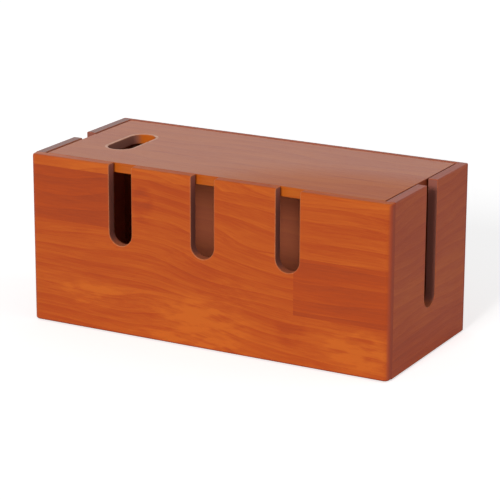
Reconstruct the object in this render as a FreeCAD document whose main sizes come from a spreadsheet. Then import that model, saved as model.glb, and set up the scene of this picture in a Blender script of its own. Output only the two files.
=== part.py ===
import FreeCAD, Part
import os
import Sketcher

# A wooden cable management box: four walls open in slots at the top, a raised bottom, and an inset
# lid that lifts off by its finger hole. Sizes are in millimetres. X runs along the box to the right,
# the slotted front faces -Y, and Z is 0 on the surface that the foot pads stand on.

SIZES = {
    # Walls
    "box_length": 355,
    "box_depth": 160,
    "wall_height": 155,
    "wall_thickness": 9,
    "back_thickness": 4,
    "front_corner_radius": 3.5,
    "back_corner_radius": 2,
    "arris_radius": 1,
    # Slots for the leads, open at the top; the front ones are shifted to the left of the middle
    "front_slot_width": 23,
    "front_slot_depth": 73,
    "front_slot_pitch": 83,
    "front_slot_shift": 1.5,
    "end_slot_width": 22,
    "end_slot_depth": 111.5,
    # Bottom panel, held in a groove round the walls
    "bottom_thickness": 5,
    "bottom_rise": 4,
    "groove_depth": 4,
    "back_groove_depth": 2,
    "groove_clearance": 0.1,
    # Lid and its finger hole
    "lid_thickness": 9,
    "lid_gap": 1.6,
    "lid_recess": 0.4,
    "lid_corner_radius": 1.5,
    "lid_arris_radius": 1,
    "finger_hole_width": 24,
    "finger_hole_length": 61,
    "finger_hole_setback": 55.5,
    "finger_hole_rim_radius": 1.5,
    # Corner blocks that carry the lid
    "block_side": 12,
    "block_chamfer": 5,
    # Dowels from the front panel into the end panels, and screws through the back panel
    "fastener_end_distance": 25,
    "dowel_diameter": 5,
    "dowel_length": 24,
    "dowel_seat": 6,
    "dowel_chamfer": 0.6,
    "screw_diameter": 2.5,
    "screw_head_diameter": 5,
    "screw_length": 20,
    "screw_point_length": 3,
    "screw_recess_span": 2.6,
    "screw_recess_width": 0.7,
    "screw_recess_depth": 1,
    # Pins from the corner blocks into the end panels
    "pin_diameter": 1.4,
    "pin_head_diameter": 2.4,
    "pin_head_thickness": 0.6,
    "pin_length": 16,
    "pin_point_length": 1.5,
    "pin_end_distance": 45,
    # Round every fastener, and past its end in a blind hole
    "fastener_clearance": 0.05,
    "fastener_end_gap": 0.5,
    # Foot pads
    "pad_diameter": 14,
    "pad_projection": 1,
    "pad_inset": 18,
    "pad_edge_radius": 0.4,
    # How far a cut runs past the face it opens
    "cut_overrun": 1,
}

FRONT_SLOTS = 3
FASTENERS_PER_CORNER = 3
PINS_PER_BLOCK = 2
COUNTERSINK_ANGLE = 90

# Places that several pieces share, as expressions on the sheet of sizes
HALF_LENGTH = "(Sizes.box_length / 2)"
INNER_HALF_LENGTH = "(Sizes.box_length / 2 - Sizes.wall_thickness)"
END_PANEL_MIDDLE = "(Sizes.box_length / 2 - Sizes.wall_thickness / 2)"
END_PANEL_DEPTH = "(Sizes.box_depth - Sizes.wall_thickness - Sizes.back_thickness)"
FRONT_INSIDE = "(Sizes.wall_thickness - Sizes.box_depth / 2)"
BACK_INSIDE = "(Sizes.box_depth / 2 - Sizes.back_thickness)"
BOTTOM_TOP = "(Sizes.bottom_rise + Sizes.bottom_thickness)"
LID_UNDERSIDE = "(Sizes.wall_height - Sizes.lid_recess - Sizes.lid_thickness)"
BLOCK_HEIGHT = f"({LID_UNDERSIDE} - {BOTTOM_TOP})"
FASTENER_RUN = "(Sizes.wall_height - 2 * Sizes.fastener_end_distance)"
PIN_RUN = f"({BLOCK_HEIGHT} - 2 * Sizes.pin_end_distance)"
PIN_LINE = "((Sizes.block_side - Sizes.block_chamfer) / 2)"

# The sketcher's numbers for the points of an edge, the sketch's origin and its two axes
START = 1
END = 2
CENTRE = 3
ORIGIN = -1
LEVEL_AXIS = -1
UPRIGHT_AXIS = -2

TOLERANCE = 1e-4

doc = FreeCAD.newDocument("cable_management_box")
sheet = doc.addObject("Spreadsheet::Sheet", "Sizes")
for row, (alias, size) in enumerate(SIZES.items(), start=1):
    sheet.set(f"A{row}", alias)
    sheet.set(f"B{row}", str(size))
    sheet.setAlias(f"B{row}", alias)
doc.recompute()


def value(expression):
    """Number that an expression on the sheet gives now."""
    return float(sheet.evalExpression(expression))


def negated(expression):
    """The expression with its sign changed."""
    return expression[1:] if expression.startswith("-") else f"-{expression}"


def signed(side, expression):
    """The expression on the right or back side, and its negative on the left or front side."""
    return expression if side > 0 else negated(expression)


def origin_feature(body, role):
    """Plane or axis of a body's own origin, such as XZ_Plane or Z_Axis."""
    return next(item for item in body.Origin.OriginFeatures if item.Role == role)


def new_body(label, x="0", y="0", z="0"):
    """Empty body placed by expressions."""
    body = doc.addObject("PartDesign::Body", label)
    body.Label = label
    body.AllowCompound = True
    for axis, place in zip("xyz", (x, y, z)):
        body.setExpression(f".Placement.Base.{axis}", place)
    return body


def new_sketch(body, name, plane, offset="0"):
    """Sketch on one of the body's origin planes, moved along the plane's normal by offset."""
    sketch = body.newObject("Sketcher::SketchObject", name)
    sketch.AttachmentSupport = [(origin_feature(body, plane), "")]
    sketch.MapMode = "FlatFace"
    sketch.setExpression(".AttachmentOffset.Base.z", offset)
    return sketch


def constrain(sketch, kind, *where):
    """Add a geometric constraint."""
    sketch.addConstraint(Sketcher.Constraint(kind, *where))


def dimension(sketch, kind, where, size):
    """Add a dimension whose size is an expression."""
    index = sketch.addConstraint(Sketcher.Constraint(kind, *where, value(size)))
    sketch.setExpression(f"Constraints[{index}]", size)


def pin_point(sketch, geometry, point, x, y):
    """Hold a point of the sketch at x and y from its origin."""
    for kind, axis, place in (("DistanceX", UPRIGHT_AXIS, x), ("DistanceY", LEVEL_AXIS, y)):
        if place == "0":
            constrain(sketch, "PointOnObject", geometry, point, axis)
        else:
            dimension(sketch, kind, (ORIGIN, START, geometry, point), place)


def add_polygon(sketch, corners):
    """Closed straight-sided outline; each corner is a pair of expressions."""
    points = [FreeCAD.Vector(value(x), value(y), 0) for x, y in corners]
    for start, end in zip(points, points[1:] + points[:1]):
        sketch.addGeometry(Part.LineSegment(start, end))
    for side, (x, y) in enumerate(corners):
        side_before = (side - 1) % len(corners)
        constrain(sketch, "Coincident", side_before, END, side, START)
        pin_point(sketch, side, START, x, y)


def add_rectangle(sketch, left, right, bottom, top):
    """Rectangle between four expressions."""
    add_polygon(sketch, [(left, bottom), (right, bottom), (right, top), (left, top)])


def add_circle(sketch, x, y, diameter):
    """Circle about a point given by two expressions."""
    centre = FreeCAD.Vector(value(x), value(y), 0)
    normal = FreeCAD.Vector(0, 0, 1)
    circle = sketch.addGeometry(Part.Circle(centre, normal, value(diameter) / 2))
    dimension(sketch, "Diameter", (circle,), diameter)
    pin_point(sketch, circle, CENTRE, x, y)


def add_oblong(sketch, x, width, bottom, top):
    """Upright outline with round ends, about the line at x."""
    middle = value(x)
    radius = value(width) / 2
    low = value(bottom) + radius
    high = value(top) - radius
    low_left = FreeCAD.Vector(middle - radius, low, 0)
    low_right = FreeCAD.Vector(middle + radius, low, 0)
    high_right = FreeCAD.Vector(middle + radius, high, 0)
    high_left = FreeCAD.Vector(middle - radius, high, 0)
    lowest = FreeCAD.Vector(middle, low - radius, 0)
    highest = FreeCAD.Vector(middle, high + radius, 0)
    foot = sketch.addGeometry(Part.Arc(low_left, lowest, low_right))
    right = sketch.addGeometry(Part.LineSegment(low_right, high_right))
    head = sketch.addGeometry(Part.Arc(high_right, highest, high_left))
    left = sketch.addGeometry(Part.LineSegment(high_left, low_left))
    for before, after in ((foot, right), (right, head), (head, left), (left, foot)):
        constrain(sketch, "Tangent", before, END, after, START)
    constrain(sketch, "Vertical", right)
    dimension(sketch, "Diameter", (foot,), width)
    pin_point(sketch, foot, CENTRE, x, f"{bottom} + {width} / 2")
    dimension(sketch, "DistanceY", (ORIGIN, START, head, CENTRE), f"{top} - {width} / 2")


def finish(body, feature):
    """Make a new feature the body's tip and work it out."""
    body.Tip = feature
    doc.recompute()
    return feature


def pad(body, name, sketch, length, backwards=False):
    """Solid raised from a sketch along its normal, or backwards from it."""
    feature = body.newObject("PartDesign::Pad", name)
    feature.Profile = sketch
    feature.Reversed = backwards
    feature.setExpression("Length", length)
    return finish(body, feature)


def pocket(body, name, sketch, along_normal, depth=None):
    """Cut from a sketch, right through or to a depth, that has to take something away."""
    volume_before = body.Tip.Shape.Volume
    feature = body.newObject("PartDesign::Pocket", name)
    feature.Profile = sketch
    feature.Reversed = along_normal
    if depth is None:
        feature.Type = "ThroughAll"
    else:
        feature.setExpression("Length", depth)
    finish(body, feature)
    if feature.Shape.Volume > volume_before - TOLERANCE:
        raise RuntimeError(f"{name} cuts nothing")
    return feature


def revolution(body, name, sketch, axis):
    """Solid turned about one of the sketch's axes."""
    feature = body.newObject("PartDesign::Revolution", name)
    feature.Profile = sketch
    feature.ReferenceAxis = (sketch, [axis])
    return finish(body, feature)


def repeat(body, name, features, axis, run, count):
    """Features repeated count times, evenly spaced over a run along one of the body's axes."""
    pattern = body.newObject("PartDesign::LinearPattern", name)
    pattern.Originals = features
    pattern.Direction = (origin_feature(body, axis), [""])
    pattern.setExpression("Length", run)
    pattern.Occurrences = count
    return finish(body, pattern)


def round_edges(body, name, radius, chosen):
    """Fillet on each edge of the body so far whose bounding box is chosen."""
    base = body.Tip
    numbered_edges = enumerate(base.Shape.Edges, start=1)
    names = [f"Edge{number}" for number, edge in numbered_edges if chosen(edge.BoundBox)]
    fillet = body.newObject("PartDesign::Fillet", name)
    fillet.Base = (base, names)
    fillet.setExpression("Radius", radius)
    return finish(body, fillet)


def lies_at(box, axis, place):
    """Whether a bounding box lies in the plane where X, Y or Z equals place."""
    low = getattr(box, f"{axis}Min")
    high = getattr(box, f"{axis}Max")
    return abs(low - place) < TOLERANCE and abs(high - place) < TOLERANCE


def is_upright(box):
    """Whether a bounding box is that of an upright line."""
    return lies_at(box, "X", box.XMin) and lies_at(box, "Y", box.YMin)


def cut_groove(body, name, plane, left, right, along_normal, depth):
    """Groove for one edge of the bottom panel, cut from the inside of a wall."""
    outline = new_sketch(body, f"{name}_outline", plane)
    top = f"({BOTTOM_TOP} + Sizes.groove_clearance)"
    add_rectangle(outline, left, right, "Sizes.bottom_rise", top)
    pocket(body, name, outline, along_normal, depth)


def drill_columns(body, name, sketch, centres, fastener_diameter, along_normal, depth, run, count):
    """Upright columns of blind holes; centres holds the lowest hole of each column."""
    for across, height in centres:
        add_circle(sketch, across, height, f"{fastener_diameter} + 2 * Sizes.fastener_clearance")
    lowest_holes = pocket(body, f"{name}_lowest", sketch, along_normal, depth)
    repeat(body, name, [lowest_holes], "Z_Axis", run, count)


def build_board(label, y, thickness, corner_radius, backwards):
    """Upright board over the full length, its outer corners rounded, before it is cut."""
    body = new_body(label, y=y, z="Sizes.pad_projection")
    outline = new_sketch(body, f"{label}_outline", "XZ_Plane")
    add_rectangle(outline, f"-{HALF_LENGTH}", HALF_LENGTH, "0", "Sizes.wall_height")
    pad(body, f"{label}_board", outline, thickness, backwards)
    round_edges(
        body,
        f"{label}_corners",
        corner_radius,
        lambda box: is_upright(box) and not lies_at(box, "Y", 0),
    )
    return body


def build_front_panel():
    """Front board, with slots that open at its top edge."""
    body = build_board(
        "front_panel",
        FRONT_INSIDE,
        "Sizes.wall_thickness",
        "Sizes.front_corner_radius",
        backwards=False,
    )

    slot_outline = new_sketch(body, "front_slot_outline", "XZ_Plane")
    slot_bottom = "(Sizes.wall_height - Sizes.front_slot_depth)"
    slot_top = "(Sizes.wall_height + Sizes.front_slot_width)"
    slot_run = f"({FRONT_SLOTS - 1} * Sizes.front_slot_pitch)"
    left_slot_x = f"(-Sizes.front_slot_shift - {slot_run} / 2)"
    add_oblong(slot_outline, left_slot_x, "Sizes.front_slot_width", slot_bottom, slot_top)
    left_slot = pocket(body, "front_left_slot", slot_outline, along_normal=True)
    repeat(body, "front_slots", [left_slot], "X_Axis", slot_run, FRONT_SLOTS)

    groove_end = f"({INNER_HALF_LENGTH} + Sizes.groove_depth)"
    cut_groove(
        body, "front_groove", "XZ_Plane", f"-{groove_end}", groove_end, True, "Sizes.groove_depth"
    )
    drill_columns(
        body,
        "front_dowel_holes",
        new_sketch(body, "front_dowel_hole_outline", "XZ_Plane"),
        [(signed(side, END_PANEL_MIDDLE), "Sizes.fastener_end_distance") for side in (-1, 1)],
        "Sizes.dowel_diameter",
        True,
        "Sizes.dowel_seat + Sizes.fastener_end_gap",
        FASTENER_RUN,
        FASTENERS_PER_CORNER,
    )

    outside = -value("Sizes.wall_thickness")
    height = value("Sizes.wall_height")
    corner_start = value(f"{HALF_LENGTH} - Sizes.front_corner_radius") - TOLERANCE
    inside_end = value(INNER_HALF_LENGTH)
    slots_bottom = value(slot_bottom) - TOLERANCE

    def is_arris(box):
        at_inside = lies_at(box, "Y", 0)
        at_level_end = lies_at(box, "Z", height) or lies_at(box, "Z", 0)
        joins_corner = is_upright(box) and abs(box.XMin) > corner_start
        at_outside = lies_at(box, "Y", outside) and not joins_corner
        at_slot = abs(box.XMin) < inside_end and box.ZMin > slots_bottom
        if at_inside:
            return at_slot and not at_level_end
        return at_outside or at_level_end

    round_edges(body, "front_arrises", "Sizes.arris_radius", is_arris)
    return body


def build_back_panel():
    """Thin back board, screwed to the end panels."""
    body = build_board(
        "back_panel",
        BACK_INSIDE,
        "Sizes.back_thickness",
        "Sizes.back_corner_radius",
        backwards=True,
    )
    groove_end = f"({INNER_HALF_LENGTH} + Sizes.groove_depth)"
    cut_groove(
        body,
        "back_groove",
        "XZ_Plane",
        f"-{groove_end}",
        groove_end,
        False,
        "Sizes.back_groove_depth",
    )

    hole_diameter = "Sizes.screw_diameter + 2 * Sizes.fastener_clearance"
    outline = new_sketch(body, "back_screw_hole_outline", "XZ_Plane", "-Sizes.back_thickness")
    for side in (-1, 1):
        across = signed(side, END_PANEL_MIDDLE)
        add_circle(outline, across, "Sizes.fastener_end_distance", hole_diameter)
    doc.recompute()
    hole = body.newObject("PartDesign::Hole", "back_screw_hole")
    hole.Profile = outline
    hole.Reversed = True
    hole.DepthType = "ThroughAll"
    hole.setExpression("Diameter", hole_diameter)
    hole.HoleCutType = "Countersink"
    hole.HoleCutCustomValues = True
    hole.setExpression("HoleCutDiameter", "Sizes.screw_head_diameter + 2 * Sizes.fastener_clearance")
    hole.HoleCutCountersinkAngle = COUNTERSINK_ANGLE
    finish(body, hole)
    repeat(body, "back_screw_holes", [hole], "Z_Axis", FASTENER_RUN, FASTENERS_PER_CORNER)

    height = value("Sizes.wall_height")

    def is_arris(box):
        at_level_end = lies_at(box, "Z", height) or lies_at(box, "Z", 0)
        return at_level_end and not lies_at(box, "Y", 0)

    round_edges(body, "back_arrises", "Sizes.arris_radius", is_arris)
    return body


def build_end_panel(label, x_side):
    """End board between the front and back boards, with one deep slot open at the top."""
    is_right = x_side > 0
    inside = signed(x_side, INNER_HALF_LENGTH)
    body = new_body(label, x=inside, y=FRONT_INSIDE, z="Sizes.pad_projection")
    outline = new_sketch(body, f"{label}_outline", "YZ_Plane")
    add_rectangle(outline, "0", END_PANEL_DEPTH, "0", "Sizes.wall_height")
    pad(body, f"{label}_board", outline, "Sizes.wall_thickness", backwards=not is_right)

    slot_middle = f"({END_PANEL_DEPTH} / 2)"
    slot_bottom = "(Sizes.wall_height - Sizes.end_slot_depth)"
    slot_top = "(Sizes.wall_height + Sizes.end_slot_width)"
    slot_outline = new_sketch(body, f"{label}_slot_outline", "YZ_Plane")
    add_oblong(slot_outline, slot_middle, "Sizes.end_slot_width", slot_bottom, slot_top)
    pocket(body, f"{label}_slot", slot_outline, along_normal=is_right)

    cut_groove(
        body,
        f"{label}_groove",
        "YZ_Plane",
        "-Sizes.cut_overrun",
        f"({END_PANEL_DEPTH} + Sizes.cut_overrun)",
        is_right,
        "Sizes.groove_depth",
    )
    edge_middle = signed(x_side, "(Sizes.wall_thickness / 2)")
    drill_columns(
        body,
        f"{label}_dowel_holes",
        new_sketch(body, f"{label}_dowel_hole_outline", "XZ_Plane"),
        [(edge_middle, "Sizes.fastener_end_distance")],
        "Sizes.dowel_diameter",
        False,
        "Sizes.dowel_length - Sizes.dowel_seat + Sizes.fastener_end_gap",
        FASTENER_RUN,
        FASTENERS_PER_CORNER,
    )
    drill_columns(
        body,
        f"{label}_screw_holes",
        new_sketch(body, f"{label}_screw_hole_outline", "XZ_Plane", f"-{END_PANEL_DEPTH}"),
        [(edge_middle, "Sizes.fastener_end_distance")],
        "Sizes.screw_diameter",
        True,
        "Sizes.screw_length - Sizes.back_thickness + Sizes.fastener_end_gap",
        FASTENER_RUN,
        FASTENERS_PER_CORNER,
    )
    pin_height = f"({BOTTOM_TOP} + Sizes.pin_end_distance)"
    drill_columns(
        body,
        f"{label}_pin_holes",
        new_sketch(body, f"{label}_pin_hole_outline", "YZ_Plane"),
        [(PIN_LINE, pin_height), (f"({END_PANEL_DEPTH} - {PIN_LINE})", pin_height)],
        "Sizes.pin_diameter",
        is_right,
        "Sizes.pin_length - Sizes.block_side + Sizes.fastener_end_gap",
        PIN_RUN,
        PINS_PER_BLOCK,
    )

    outside = x_side * value("Sizes.wall_thickness")
    height = value("Sizes.wall_height")
    depth = value(END_PANEL_DEPTH)
    slot_start = value(f"{slot_middle} - Sizes.end_slot_width / 2") - TOLERANCE
    slot_end = value(f"{slot_middle} + Sizes.end_slot_width / 2") + TOLERANCE
    slot_foot = value(slot_bottom) - TOLERANCE

    def is_arris(box):
        at_joint = lies_at(box, "Y", 0) or lies_at(box, "Y", depth)
        at_level_end = lies_at(box, "Z", height) or lies_at(box, "Z", 0)
        at_slot = box.YMin > slot_start and box.YMax < slot_end and box.ZMin > slot_foot
        if lies_at(box, "X", 0):
            return at_slot and not at_level_end
        return not at_joint and (lies_at(box, "X", outside) or at_level_end and at_slot)

    round_edges(body, f"{label}_arrises", "Sizes.arris_radius", is_arris)
    return body


def build_bottom_panel():
    """Bottom board whose edges sit in the grooves of the four walls."""
    body = new_body("bottom_panel", z="Sizes.pad_projection + Sizes.bottom_rise")
    outline = new_sketch(body, "bottom_outline", "XY_Plane")
    end = f"({INNER_HALF_LENGTH} + Sizes.groove_depth - Sizes.groove_clearance)"
    front = f"({FRONT_INSIDE} - Sizes.groove_depth + Sizes.groove_clearance)"
    back = f"({BACK_INSIDE} + Sizes.back_groove_depth - Sizes.groove_clearance)"
    add_rectangle(outline, f"-{end}", end, front, back)
    pad(body, "bottom_board", outline, "Sizes.bottom_thickness")
    return body


def build_lid():
    """Loose lid inside the walls, with an oblong finger hole near its left end."""
    body = new_body("lid", z=f"Sizes.pad_projection + {LID_UNDERSIDE}")
    outline = new_sketch(body, "lid_outline", "XY_Plane")
    end = f"({INNER_HALF_LENGTH} - Sizes.lid_gap)"
    front = f"({FRONT_INSIDE} + Sizes.lid_gap)"
    back = f"({BACK_INSIDE} - Sizes.lid_gap)"
    add_rectangle(outline, f"-{end}", end, front, back)
    pad(body, "lid_board", outline, "Sizes.lid_thickness")
    round_edges(body, "lid_corners", "Sizes.lid_corner_radius", is_upright)

    hole_outline = new_sketch(body, "finger_hole_outline", "XY_Plane")
    hole_x = f"(Sizes.finger_hole_setback - {HALF_LENGTH})"
    hole_middle = f"(({front} + {back}) / 2)"
    hole_front = f"({hole_middle} - Sizes.finger_hole_length / 2)"
    hole_back = f"({hole_middle} + Sizes.finger_hole_length / 2)"
    add_oblong(hole_outline, hole_x, "Sizes.finger_hole_width", hole_front, hole_back)
    pocket(body, "finger_hole", hole_outline, along_normal=True)

    hole_reach = value(f"{hole_x} + Sizes.finger_hole_width / 2") + TOLERANCE
    lid_end = -value(end) + TOLERANCE
    hole_front_end = value(hole_front) - TOLERANCE
    top = value("Sizes.lid_thickness")

    def is_level(box):
        return lies_at(box, "Z", top) or lies_at(box, "Z", 0)

    def is_hole_edge(box):
        return lid_end < box.XMin and box.XMax < hole_reach and box.YMin > hole_front_end

    round_edges(
        body,
        "finger_hole_rims",
        "Sizes.finger_hole_rim_radius",
        lambda box: is_level(box) and is_hole_edge(box),
    )
    round_edges(
        body,
        "lid_arrises",
        "Sizes.lid_arris_radius",
        lambda box: is_level(box) and not is_hole_edge(box),
    )
    return body


def build_corner_block(label, x_side, y_side):
    """Upright glue block in an inside corner, whose top carries the lid."""
    corner_x = signed(x_side, INNER_HALF_LENGTH)
    corner_y = BACK_INSIDE if y_side > 0 else FRONT_INSIDE
    body = new_body(label, x=corner_x, y=corner_y, z=f"Sizes.pad_projection + {BOTTOM_TOP}")
    outline = new_sketch(body, f"{label}_outline", "XY_Plane")
    far_x = signed(-x_side, "Sizes.block_side")
    far_y = signed(-y_side, "Sizes.block_side")
    chamfer_x = signed(-x_side, "(Sizes.block_side - Sizes.block_chamfer)")
    chamfer_y = signed(-y_side, "(Sizes.block_side - Sizes.block_chamfer)")
    add_polygon(
        outline, [("0", "0"), (far_x, "0"), (far_x, chamfer_y), (chamfer_x, far_y), ("0", far_y)]
    )
    pad(body, f"{label}_bar", outline, BLOCK_HEIGHT)

    faces_right = x_side < 0
    pin_y = signed(-y_side, PIN_LINE)
    shank_outline = new_sketch(body, f"{label}_pin_hole_outline", "YZ_Plane")
    shank_diameter = "Sizes.pin_diameter + 2 * Sizes.fastener_clearance"
    add_circle(shank_outline, pin_y, "Sizes.pin_end_distance", shank_diameter)
    shank_hole = pocket(body, f"{label}_pin_hole", shank_outline, along_normal=faces_right)

    head_outline = new_sketch(body, f"{label}_pin_head_outline", "YZ_Plane", far_x)
    head_diameter = "Sizes.pin_head_diameter + 2 * Sizes.fastener_clearance"
    add_circle(head_outline, pin_y, "Sizes.pin_end_distance", head_diameter)
    head_hole = pocket(
        body,
        f"{label}_pin_head_hole",
        head_outline,
        along_normal=not faces_right,
        depth="Sizes.pin_head_thickness + Sizes.fastener_clearance",
    )
    holes = [shank_hole, head_hole]
    repeat(body, f"{label}_pin_holes", holes, "Z_Axis", PIN_RUN, PINS_PER_BLOCK)
    return body


def build_block_pins(label, x_side, y_side):
    """Pins from a corner block into its end panel, their heads level with the block's face."""
    corner_y = BACK_INSIDE if y_side > 0 else FRONT_INSIDE
    body = new_body(
        label,
        x=signed(x_side, INNER_HALF_LENGTH),
        y=f"{corner_y} + {signed(-y_side, PIN_LINE)}",
        z=f"Sizes.pad_projection + {BOTTOM_TOP} + Sizes.pin_end_distance",
    )
    head = signed(-x_side, "Sizes.block_side")
    under_head = signed(-x_side, "(Sizes.block_side - Sizes.pin_head_thickness)")
    shoulder = signed(
        x_side, "(Sizes.pin_length - Sizes.block_side - Sizes.pin_point_length)"
    )
    point = signed(x_side, "(Sizes.pin_length - Sizes.block_side)")
    profile = new_sketch(body, f"{label}_profile", "XY_Plane")
    add_polygon(
        profile,
        [
            (head, "0"),
            (head, "Sizes.pin_head_diameter / 2"),
            (under_head, "Sizes.pin_head_diameter / 2"),
            (under_head, "Sizes.pin_diameter / 2"),
            (shoulder, "Sizes.pin_diameter / 2"),
            (point, "0"),
        ],
    )
    lowest_pin = revolution(body, f"{label}_lowest", profile, "H_Axis")
    repeat(body, f"{label}_column", [lowest_pin], "Z_Axis", PIN_RUN, PINS_PER_BLOCK)
    return body


def build_dowels(label, x_side):
    """Dowels that join the front panel to one end panel."""
    height = "Sizes.pad_projection + Sizes.fastener_end_distance"
    body = new_body(label, x=signed(x_side, END_PANEL_MIDDLE), y=FRONT_INSIDE, z=height)
    front = "-Sizes.dowel_seat"
    back = "(Sizes.dowel_length - Sizes.dowel_seat)"
    radius = "Sizes.dowel_diameter / 2"
    end_radius = "(Sizes.dowel_diameter / 2 - Sizes.dowel_chamfer)"
    profile = new_sketch(body, f"{label}_profile", "XY_Plane")
    add_polygon(
        profile,
        [
            ("0", front),
            (end_radius, front),
            (radius, f"({front} + Sizes.dowel_chamfer)"),
            (radius, f"({back} - Sizes.dowel_chamfer)"),
            (end_radius, back),
            ("0", back),
        ],
    )
    lowest_dowel = revolution(body, f"{label}_lowest", profile, "V_Axis")
    repeat(body, f"{label}_column", [lowest_dowel], "Z_Axis", FASTENER_RUN, FASTENERS_PER_CORNER)
    return body


def build_screws(label, x_side):
    """Countersunk screws through the back panel into one end panel, with crossed driver slots."""
    height = "Sizes.pad_projection + Sizes.fastener_end_distance"
    body = new_body(
        label, x=signed(x_side, END_PANEL_MIDDLE), y="Sizes.box_depth / 2", z=height
    )
    profile = new_sketch(body, f"{label}_profile", "XY_Plane")
    add_polygon(
        profile,
        [
            ("0", "0"),
            ("Sizes.screw_head_diameter / 2", "0"),
            ("Sizes.screw_diameter / 2", "(Sizes.screw_diameter - Sizes.screw_head_diameter) / 2"),
            ("Sizes.screw_diameter / 2", "(Sizes.screw_point_length - Sizes.screw_length)"),
            ("0", "-Sizes.screw_length"),
        ],
    )
    turned_screw = revolution(body, f"{label}_lowest", profile, "V_Axis")

    cross_outline = new_sketch(body, f"{label}_driver_slot_outline", "XZ_Plane")
    tip = "(Sizes.screw_recess_span / 2)"
    flank = "(Sizes.screw_recess_width / 2)"
    arm = [(tip, negated(flank)), (tip, flank), (flank, flank)]
    cross = []
    for quarter_turn in range(4):
        cross += arm
        arm = [(negated(y), x) for x, y in arm]
    add_polygon(cross_outline, cross)
    driver_slot = pocket(
        body,
        f"{label}_driver_slot",
        cross_outline,
        along_normal=True,
        depth="Sizes.screw_recess_depth",
    )
    screw = [turned_screw, driver_slot]
    repeat(body, f"{label}_column", screw, "Z_Axis", FASTENER_RUN, FASTENERS_PER_CORNER)
    return body


def build_foot_pad(label, x_side, y_side):
    """Round pad under the bottom panel, that reaches just below the walls."""
    body = new_body(
        label,
        x=signed(x_side, "(Sizes.box_length / 2 - Sizes.pad_inset)"),
        y=signed(y_side, "(Sizes.box_depth / 2 - Sizes.pad_inset)"),
    )
    outline = new_sketch(body, f"{label}_outline", "XY_Plane")
    add_circle(outline, "0", "0", "Sizes.pad_diameter")
    pad(body, f"{label}_disc", outline, "Sizes.pad_projection + Sizes.bottom_rise")
    round_edges(
        body, f"{label}_edge", "Sizes.pad_edge_radius", lambda box: lies_at(box, "Z", 0)
    )
    return body


def check(piece):
    """Stop if a piece or one of its features failed, or if its shape isn't a valid solid."""
    for item in [piece] + piece.OutListRecursive:
        if "Invalid" in item.State or "Error" in item.State:
            raise RuntimeError(f"{item.Label} failed: {item.State}")
    shape = piece.Shape
    if shape.isNull() or not shape.isValid() or not shape.Solids:
        raise RuntimeError(f"{piece.Label} has no valid solid")


pieces = [
    build_front_panel(),
    build_back_panel(),
    build_end_panel("left_end_panel", -1),
    build_end_panel("right_end_panel", 1),
    build_bottom_panel(),
    build_lid(),
]
for end, x_side in (("left", -1), ("right", 1)):
    pieces.append(build_dowels(f"front_{end}_dowels", x_side))
    pieces.append(build_screws(f"back_{end}_screws", x_side))
    for wall, y_side in (("front", -1), ("back", 1)):
        corner = f"{wall}_{end}"
        pieces.append(build_corner_block(f"{corner}_corner_block", x_side, y_side))
        pieces.append(build_block_pins(f"{corner}_block_pins", x_side, y_side))
        pieces.append(build_foot_pad(f"{corner}_foot_pad", x_side, y_side))

doc.recompute()
for piece in pieces:
    check(piece)

os.makedirs("parts", exist_ok=True)
for piece in pieces:
    piece.Shape.exportStep(os.path.join("parts", f"{piece.Label}.step"))
    print(piece.Label, len(piece.Shape.Solids), round(piece.Shape.Volume, 1))
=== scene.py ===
"""Visual model of a wooden cable management box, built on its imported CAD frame.

The frame's axes hold throughout: X runs along the box to the right, the slotted front faces -Y and
Z points up. Sizes are in metres, and most are written in millimetres times MM.
"""

import logging
import math
from collections.abc import Callable, Sequence
from dataclasses import dataclass
from enum import Enum

import bmesh
import bpy
from mathutils import Matrix, Vector


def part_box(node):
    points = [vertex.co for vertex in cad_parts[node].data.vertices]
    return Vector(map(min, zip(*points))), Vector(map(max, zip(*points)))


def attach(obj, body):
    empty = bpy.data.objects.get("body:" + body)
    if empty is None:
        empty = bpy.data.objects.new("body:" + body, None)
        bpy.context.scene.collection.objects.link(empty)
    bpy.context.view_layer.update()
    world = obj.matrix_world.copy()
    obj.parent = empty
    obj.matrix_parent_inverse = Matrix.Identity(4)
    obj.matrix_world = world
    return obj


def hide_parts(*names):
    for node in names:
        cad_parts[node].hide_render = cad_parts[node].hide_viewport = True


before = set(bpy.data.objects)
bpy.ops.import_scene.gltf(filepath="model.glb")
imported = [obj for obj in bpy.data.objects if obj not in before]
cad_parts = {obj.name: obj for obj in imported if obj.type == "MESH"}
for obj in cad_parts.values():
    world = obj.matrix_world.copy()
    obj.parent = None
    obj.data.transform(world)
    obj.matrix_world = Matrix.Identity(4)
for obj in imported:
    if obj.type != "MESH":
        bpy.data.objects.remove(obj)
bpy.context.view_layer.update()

log = logging.getLogger("cable_box")

MM = 0.001
# Points that differ by less than this lie at one level.
LEVEL_TOLERANCE = 0.02 * MM
# Upright faces nearer to the board's outline than this belong to its outside.
RIM_REACH = 1.0 * MM
# Edges that turn by more than this are rounded, and the ones left are shaded as sharp.
SHARP_ANGLE = math.radians(40)
# A face lies flat where Z takes more of its normal than this, and on a long side where Y does.
FLAT_SHARE = 0.5
SIDE_SHARE = 0.3
# How many edges make up the round end of a slot or hole, and a rounded corner.
ARC_STEPS = 24
CORNER_STEPS = 5
FACE_LAYERS = ("stave", "stain", "arris", "inside")
# Radians by which a wave texture of scale 1 advances over one unit.
WAVE_RATE = 20.0
WHITE = (1.0, 1.0, 1.0, 1.0)

Colour = tuple[float, float, float]
Socket = bpy.types.NodeSocket
Source = Socket | float | Sequence[float]
Vert = bmesh.types.BMVert
Edge = bmesh.types.BMEdge
Face = bmesh.types.BMFace


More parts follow.
